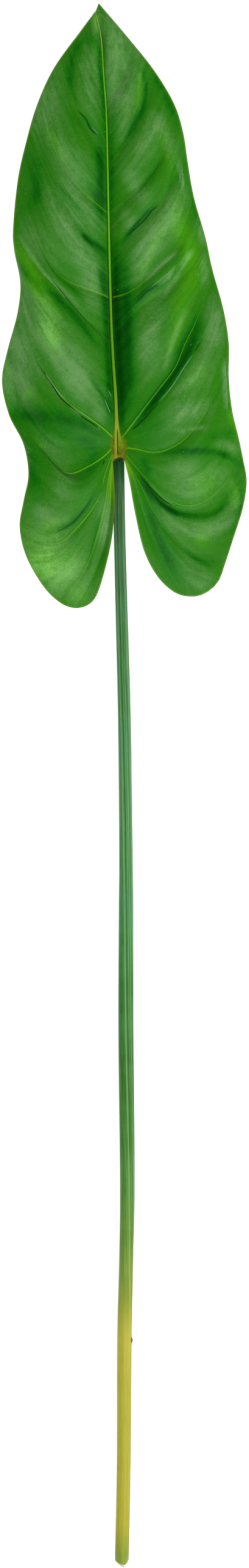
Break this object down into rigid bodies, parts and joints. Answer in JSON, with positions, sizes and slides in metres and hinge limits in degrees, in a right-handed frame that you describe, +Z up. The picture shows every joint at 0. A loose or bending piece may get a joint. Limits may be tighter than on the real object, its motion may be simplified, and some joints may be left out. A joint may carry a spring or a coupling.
{
  "type": "anthurium leaf",
  "caption": "Cut anthurium leaf lying face up: heart-shaped waved blade with raised veins, on a long round grooved stalk.",
  "frame": {"origin": "middle of the leaf's box, on the surface that it lies on", "axes": "+Y from the cut end of the stalk towards the tip of the blade, +Z up out of the blade's upper face"},
  "size_m": [0.1128, 0.7194, 0.0162],
  "materials": {
    "leaf_blade": "waxy dark green leaf skin with a soft grey sheen and lime veins",
    "leaf_stalk": "smooth green stalk, blue-green at the blade and yellow-green towards the cut"
  },
  "bodies": {
    "root": {"blade": "leaf_blade", "petiole": "leaf_stalk"}
  },
  "joints": []
}
